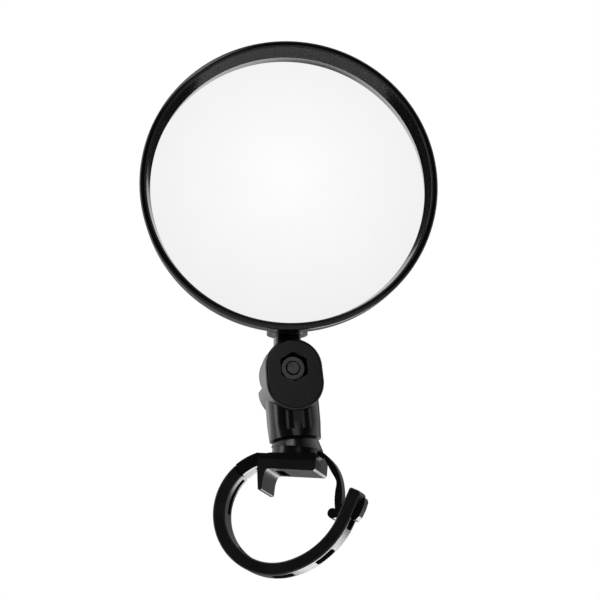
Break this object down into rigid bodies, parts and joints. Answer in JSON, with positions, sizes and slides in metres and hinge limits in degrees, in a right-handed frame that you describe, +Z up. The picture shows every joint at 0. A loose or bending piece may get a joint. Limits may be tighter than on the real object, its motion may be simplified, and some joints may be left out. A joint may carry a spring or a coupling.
{
  "type": "bicycle handlebar mirror",
  "caption": "Round convex mirror in a deep bezel on a short jointed arm, with a hook-and-strap clamp that wraps a handlebar.",
  "frame": {"origin": "centre of a 22.2 mm handlebar resting on the saddle", "axes": "Y along the handlebar with the mirror facing -Y (swivelled a little towards +X), +Z up through the arm to the mirror"},
  "size_m": [0.0775, 0.0339, 0.1445],
  "materials": {
    "black_abs": "moulded black ABS, semi-gloss",
    "black_tpu": "satin moulded strap",
    "black_steel": "black oxide, lightly oiled",
    "zinc_steel": "bright zinc",
    "brass": "turned",
    "nylon": "natural nylon",
    "nitrile": "smooth",
    "foam_tape": "closed-cell foam tape",
    "mirror": "silvered convex glass"
  },
  "bodies": {
    "clamp": {"clamp_base": "black_abs", "saddle_pad": "black_abs", "hook_tongue": "black_abs", "strap_pin": "black_steel", "pivot_washer": "nylon"},
    "strap": {"strap": "black_tpu"},
    "arm": {"arm_body": "black_abs", "pivot_insert": "brass", "pivot_screw": "zinc_steel", "pivot_spring_washer": "zinc_steel", "hinge_nut": "black_steel", "hinge_bolt": "black_steel", "hinge_bolt_washer": "black_steel"},
    "neck": {"neck": "black_abs", "friction_washer": "nylon", "spigot_o_ring": "nitrile", "spigot_screw": "zinc_steel", "spigot_washer": "zinc_steel"},
    "head": {"mirror_housing": "black_abs", "mirror_bezel": "black_abs", "mirror_glass": "mirror", "glass_tape": "foam_tape"}
  },
  "joints": [
    {"name": "strap_hinge", "type": "hinge", "parent": "clamp", "child": "strap", "pos_m": [-0.01232, 0, 0.01383], "axis": [0, 1, 0], "range_deg": [0, 90]},
    {"name": "arm_swivel", "type": "hinge", "parent": "clamp", "child": "arm", "pos_m": [-0.0005, 0, 0.02], "axis": [-0.0872, 0, 0.9962], "continuous": true},
    {"name": "knuckle_hinge", "type": "hinge", "parent": "arm", "child": "neck", "pos_m": [-0.00339, 0.00288, 0.03832], "axis": [-0.4052, 0.9135, -0.0354], "range_deg": [-75, 75]},
    {"name": "head_swivel", "type": "hinge", "parent": "neck", "child": "head", "pos_m": [-0.00339, 0.00288, 0.03832], "axis": [-0.0155, 0.0319, 0.9994], "continuous": true}
  ]
}
